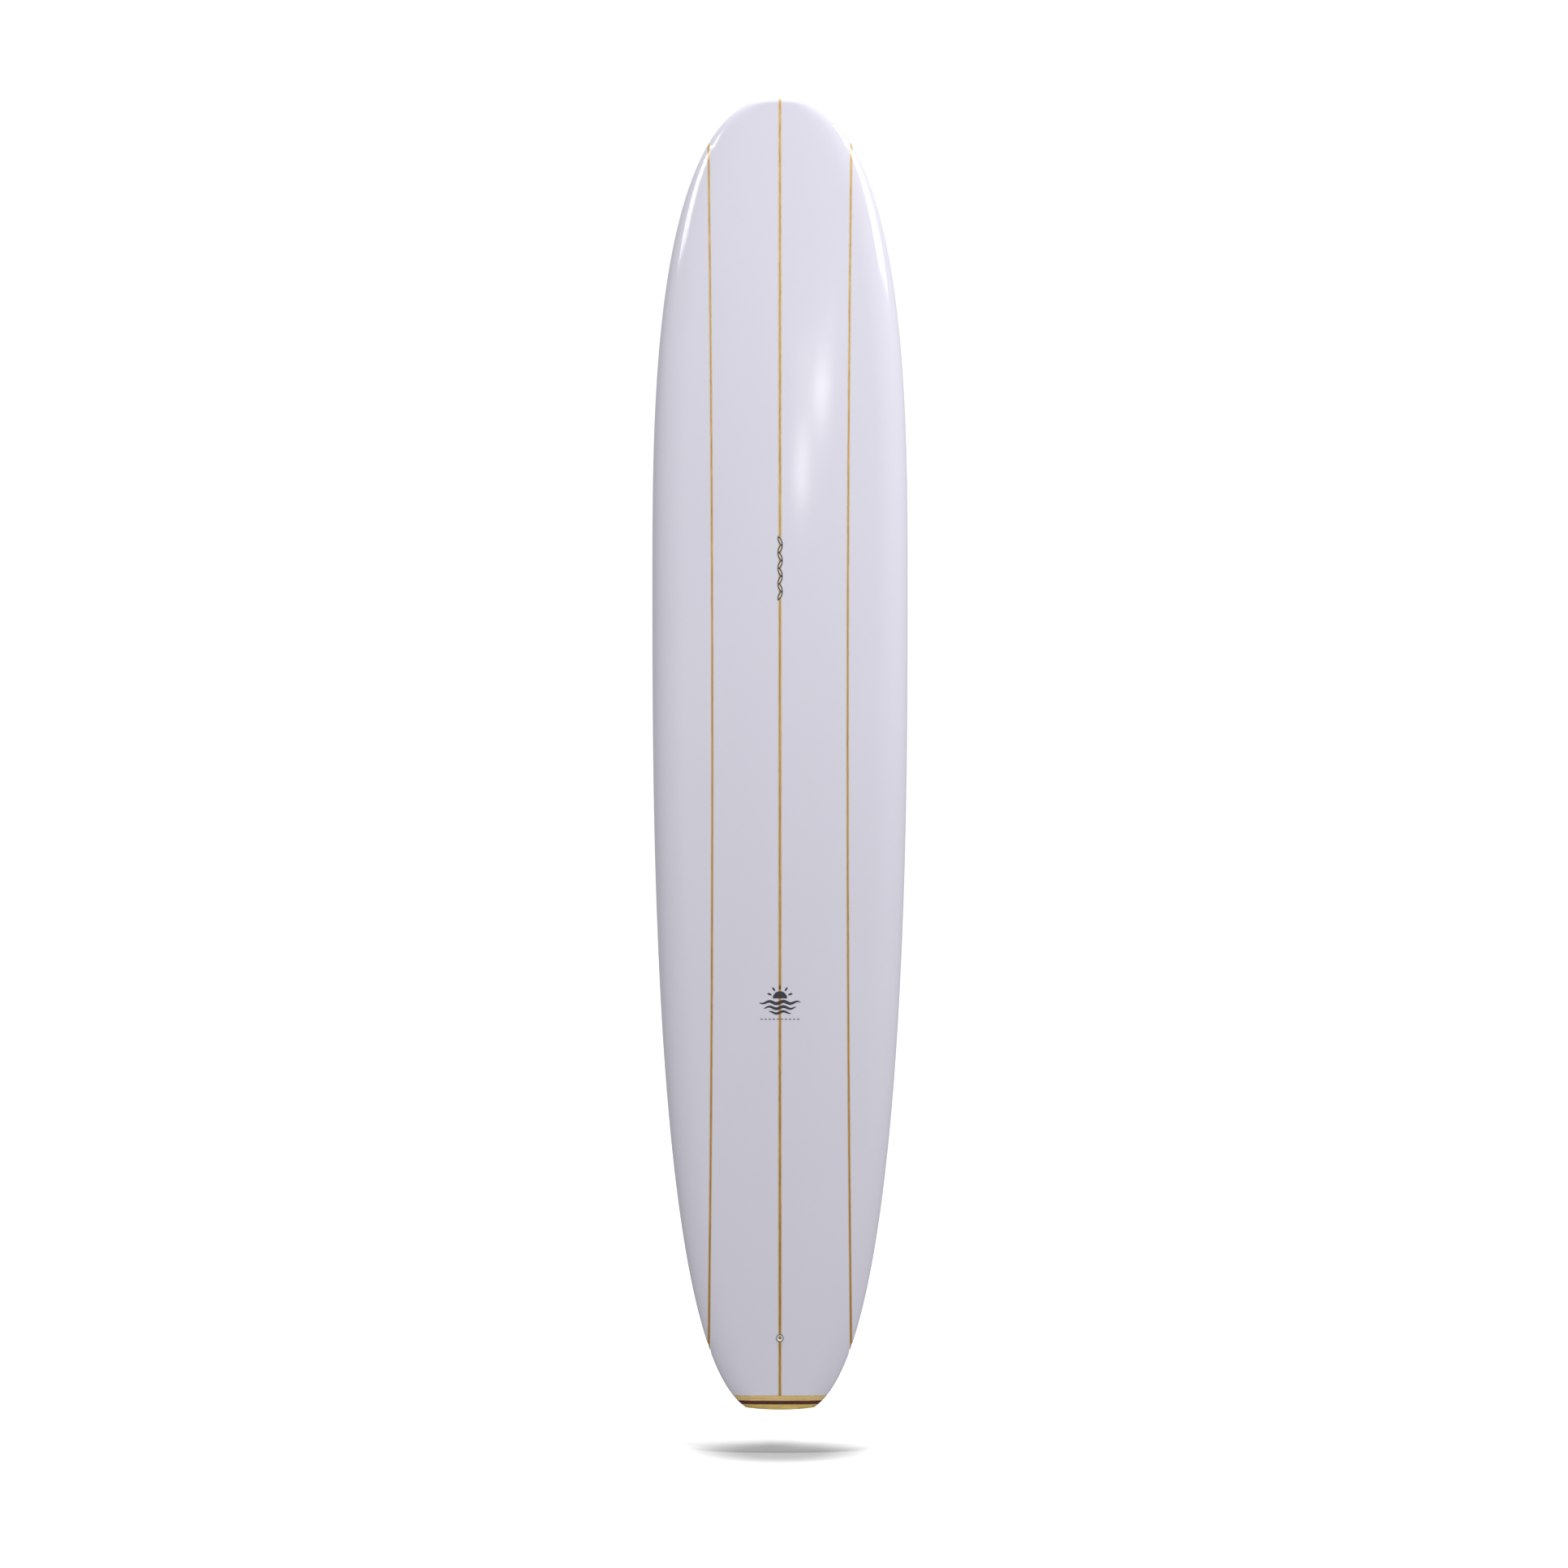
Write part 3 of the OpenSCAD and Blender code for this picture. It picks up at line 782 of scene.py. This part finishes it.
emblem = [rising_sun()]
emblem += [ray(degrees) for degrees in (22, 56, 90, 124, 158)]
emblem += [
    wave(place, reach, thick)
    for place, reach, thick in ((897, 46, 3.7), (885.5, 36, 3.3), (875, 25, 2.8))
]
dashes = [dash(x) for x in spread(FIRST_DASH, LAST_DASH, 9)]
leaves = [leaf(number, 25, 4.4, 24) for number in range(LEAVES)]
hearts = [leaf(number, 16, 1.9, 20) for number in range(LEAVES)]
film("deck_emblem_art", emblem, ART_LOW, ART_HIGH, ink, "deck_emblem")
film("deck_emblem_dashes", dashes, ART_LOW, ART_HIGH, grey_ink)
film("stringer_emblem_leaves", leaves, ART_LOW, ART_HIGH, ink, "stringer_emblem")
film("stringer_emblem_hearts", hearts, HEART_LOW, HEART_HIGH, pale_ink)


# ---- fin -------------------------------------------------------------------

# Places are from the middle of the fin box: +Z towards the nose, +Y out of the bottom
FIN_FRONT = 60
FIN_BASE = 152
FIN_RAKE = 190
FIN_TIP = 8
FIN_DEPTH = 241
FIN_LIFT = 0.3
FIN_THICK = 8.8
FIN_EDGE = 0.8
FOIL_CROWDING = 1.8
FOIL_SCALE = 2.598

TAB_HALF_WIDTH = 4.65
TAB_CHAMFER = 0.6
TAB_DEPTH = 19.5
TAB_OVERLAP = 0.8
TAB_REAR = FIN_FRONT - FIN_BASE + 6
TAB_FRONT = FIN_FRONT - 3
TONGUE_LOW, TONGUE_HIGH = -8.2, -3.5
TONGUE_REAR, TONGUE_FRONT = FIN_FRONT - 10, 78
PIN_PLACE = TAB_REAR + 6
PIN_DEPTH = 11.2
PIN_RADIUS = 2.36
PIN_REACH = 10
SCREW_PLACE = 69
SCREW_HOLE_RADIUS = 2.15
SCREW_HOLE_DEPTH = 20


def fin_section(v):
    """Foil at a share v of the way from the base to the tip."""
    front = FIN_FRONT - (FIN_RAKE - FIN_TIP) * v**1.7
    chord = FIN_TIP + (FIN_BASE - FIN_TIP) * (1 - 0.25 * v) * math.sqrt(max(0.0, 1 - v**2.4))
    height = FIN_LIFT + (FIN_DEPTH - FIN_LIFT) * v
    taper = (FIN_THICK - FIN_EDGE) / 2 * (1 - 0.97 * v) ** 0.7
    one = []
    for t in spread(0, 1, 30):
        u = t**FOIL_CROWDING
        half = FIN_EDGE / 2 + taper * FOIL_SCALE * math.sqrt(u) * (1 - u)
        one.append((half, height, front - chord * u))
    return one + [(-x, y, z) for x, y, z in reversed(one)]


def block(y_low, y_high, z_low, z_high):
    """A block as wide as the tab, with small chamfers on the edges along y."""
    x, c = TAB_HALF_WIDTH, TAB_CHAMFER
    outline = [(-x + c, z_low), (x - c, z_low), (x, z_low + c), (x, z_high - c),
               (x - c, z_high), (-x + c, z_high), (-x, z_high - c), (-x, z_low + c)]
    return prism(outline, y_low, y_high)


def pin_hole():
    return loft([
        [(x, y - PIN_DEPTH, z + PIN_PLACE) for y, z in circle(PIN_RADIUS)]
        for x in (-PIN_REACH, PIN_REACH)
    ])


def screw_hole():
    outline = [(x, z + SCREW_PLACE) for x, z in circle(SCREW_HOLE_RADIUS)]
    return prism(outline, -SCREW_HOLE_DEPTH, 0)


fin_body = add_object(
    "fin_body",
    *loft([fin_section(math.sin(math.pi / 2 * v)) for v in spread(0, 1, 48)]),
    fin_material(), at_box,
)
for operation, solid in (
    ("UNION", block(-TAB_DEPTH, TAB_OVERLAP, TAB_REAR, TAB_FRONT)),
    ("UNION", block(TONGUE_LOW, TONGUE_HIGH, TONGUE_REAR, TONGUE_FRONT)),
    ("DIFFERENCE", pin_hole()),
    ("DIFFERENCE", screw_hole()),
):
    combine(fin_body, operation, solid, at_box)
settle(fin_body, "fin", "fin_laminate", "fin")


# ---- hardware kept from the CAD model --------------------------------------

cream = plain_material("cup_plastic", (0.94, 0.88, 0.72), (1.0, 0.97, 0.84), (400,) * 3, 0.25,
                       Coat_Weight=0.6, Coat_Roughness=0.08)
# The resin ring round the leash cup is real, but its dark colour is painted shade standing in for
# the shadow in the gap round the cup
resin = plain_material("smoky_resin", (0.09, 0.085, 0.11), (0.18, 0.17, 0.21), (300,) * 3, 0.15,
                       Coat_Weight=1.0, Coat_Roughness=0.05)
steel = plain_material("stainless", (0.42, 0.43, 0.45), (0.66, 0.67, 0.70), (300, 4000, 300), 0.28,
                       Metallic=1.0)
box_plastic = plain_material("box_plastic", (0.012, 0.012, 0.014), (0.030, 0.030, 0.034),
                             (1500,) * 3, 0.42, bump=0.3)
for node_name, finish in (
    ("leash_cup", cream), ("cup_resin_ring", resin), ("leash_bar", steel),
    ("fin_box", box_plastic), ("fin_roll_pin", steel), ("fin_screw", steel), ("fin_plate", steel),
):
    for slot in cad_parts[node_name].material_slots:
        slot.material = finish


# ---- floor, light and camera -----------------------------------------------

# Places and sizes here are in metres, and the powers in watts
FLOOR_HEIGHT = -0.096
FLOOR_REACH = 40
# Painted shadow on the floor under the tail: its scale, and its inner and outer edges
SHADOW_PAINT_SCALE = (5.0, 5.2, 0)
SHADOW_PAINT_INNER, SHADOW_PAINT_OUTER = 0.35, 1.15
WORLD_LIGHT = 0.37
WORLD_SEEN = 1.05
LAMP_AIM = (0, 0, 2.6)
CAMERA_PLACE = (0.009, -9.625, 1.381)
HIGHLIGHT_REACH = 5.0


def lay_floor():
    """A pale floor with a painted shadow: a grey ellipse with blurred edges, painted under the
    tail.
    """
    corners = [(-FLOOR_REACH, -FLOOR_REACH), (FLOOR_REACH, -FLOOR_REACH),
               (FLOOR_REACH, FLOOR_REACH), (-FLOOR_REACH, FLOOR_REACH)]
    points = [(x / MM, y / MM, FLOOR_HEIGHT / MM) for x, y in corners]
    paint = Paint("floor", 0.9, Emission_Strength=0.10, Emission_Color=(1, 1, 1, 1))
    # Painted shadow: the floor colour turns grey in an ellipse under the tail, in place of a cast
    # shadow
    apart = paint.node("VectorMath", {"operation": "LENGTH"}, Vector=paint.place(SHADOW_PAINT_SCALE))
    painted_shadow_edge = paint.node(
        "MapRange", {"interpolation_type": "SMOOTHSTEP"}, Value=apart.outputs["Value"],
        From_Min=SHADOW_PAINT_INNER, From_Max=SHADOW_PAINT_OUTER,
    )
    paint.colour(paint.ramp(painted_shadow_edge.outputs["Result"], (0.0, grey(0.40)), (1.0, grey(0.90))))
    floor = add_object("floor", points, [(0, 1, 2, 3)], paint.material)
    floor.visible_diffuse = False
    floor.visible_glossy = False


def light_world():
    """White to the camera, and dimmer as a light on the board."""
    world = bpy.data.worlds.new("studio")
    bpy.context.scene.world = world
    world.use_nodes = True
    nodes, links = world.node_tree.nodes, world.node_tree.links
    background = nodes["Background"]
    background.inputs["Color"].default_value = (1, 1, 1, 1)
    seen = nodes.new("ShaderNodeLightPath").outputs["Is Camera Ray"]
    level = nodes.new("ShaderNodeMapRange")
    level.inputs["To Min"].default_value = WORLD_LIGHT
    level.inputs["To Max"].default_value = WORLD_SEEN
    links.new(seen, level.inputs["Value"])
    links.new(level.outputs["Result"], background.inputs["Strength"])


def area_light(name, place, aim, width, height, power, shape="RECTANGLE"):
    data = bpy.data.lights.new(name, "AREA")
    data.energy = power
    data.shape = shape
    data.size = width
    data.size_y = height
    light = bpy.data.objects.new(name, data)
    light.location = place
    light.rotation_mode = "QUATERNION"
    light.rotation_quaternion = (Vector(aim) - Vector(place)).to_track_quat("-Z", "Y")
    light.visible_camera = False
    bpy.context.collection.objects.link(light)


lay_floor()
light_world()
area_light("key_right", (2.7, -2.7, 3.6), LAMP_AIM, 1.2, 1.5, 95)
area_light("fill_left", (-3.0, -3.8, 3.7), LAMP_AIM, 1.0, 1.4, 42)
sun_data = bpy.data.lights.new("overhead", "SUN")
sun_data.energy = 2.6
sun_data.angle = math.radians(12)
bpy.context.collection.objects.link(bpy.data.objects.new("overhead", sun_data))

camera_data = bpy.data.cameras.new("camera")
camera_data.lens = 100
camera_data.sensor_width = 36
camera = bpy.data.objects.new("camera", camera_data)
camera.location = CAMERA_PLACE
camera.rotation_euler = (math.pi / 2, 0, 0)
bpy.context.collection.objects.link(camera)
bpy.context.scene.camera = camera
bpy.context.scene.view_settings.view_transform = "Standard"


def highlight(name, x, s, width, height, power):
    """A small lamp whose mirror image in the deck, seen from the front, is at x, s."""
    point = surface_point(1, x, s) * MM
    along = surface_point(1, x, s + 1) * MM - point
    across = surface_point(1, x + 1, s) * MM - point
    normal = along.cross(across).normalized()
    if normal.y > 0:
        normal.negate()
    way = (point - Vector(CAMERA_PLACE)).normalized().reflect(normal)
    area_light(name, point + way * HIGHLIGHT_REACH, point, width, height, power, "ELLIPSE")


for number, lamp in enumerate((
    (88, 2243, 0.09, 0.07, 0.34), (94, 2300, 0.07, 0.05, 0.10), (112, 2390, 0.07, 0.12, 0.06),
    (46, 2072, 0.08, 0.07, 0.30), (52, 2140, 0.06, 0.05, 0.10), (48, 2325, 0.06, 0.05, 0.07),
)):
    highlight(f"highlight_{number}", *lamp)
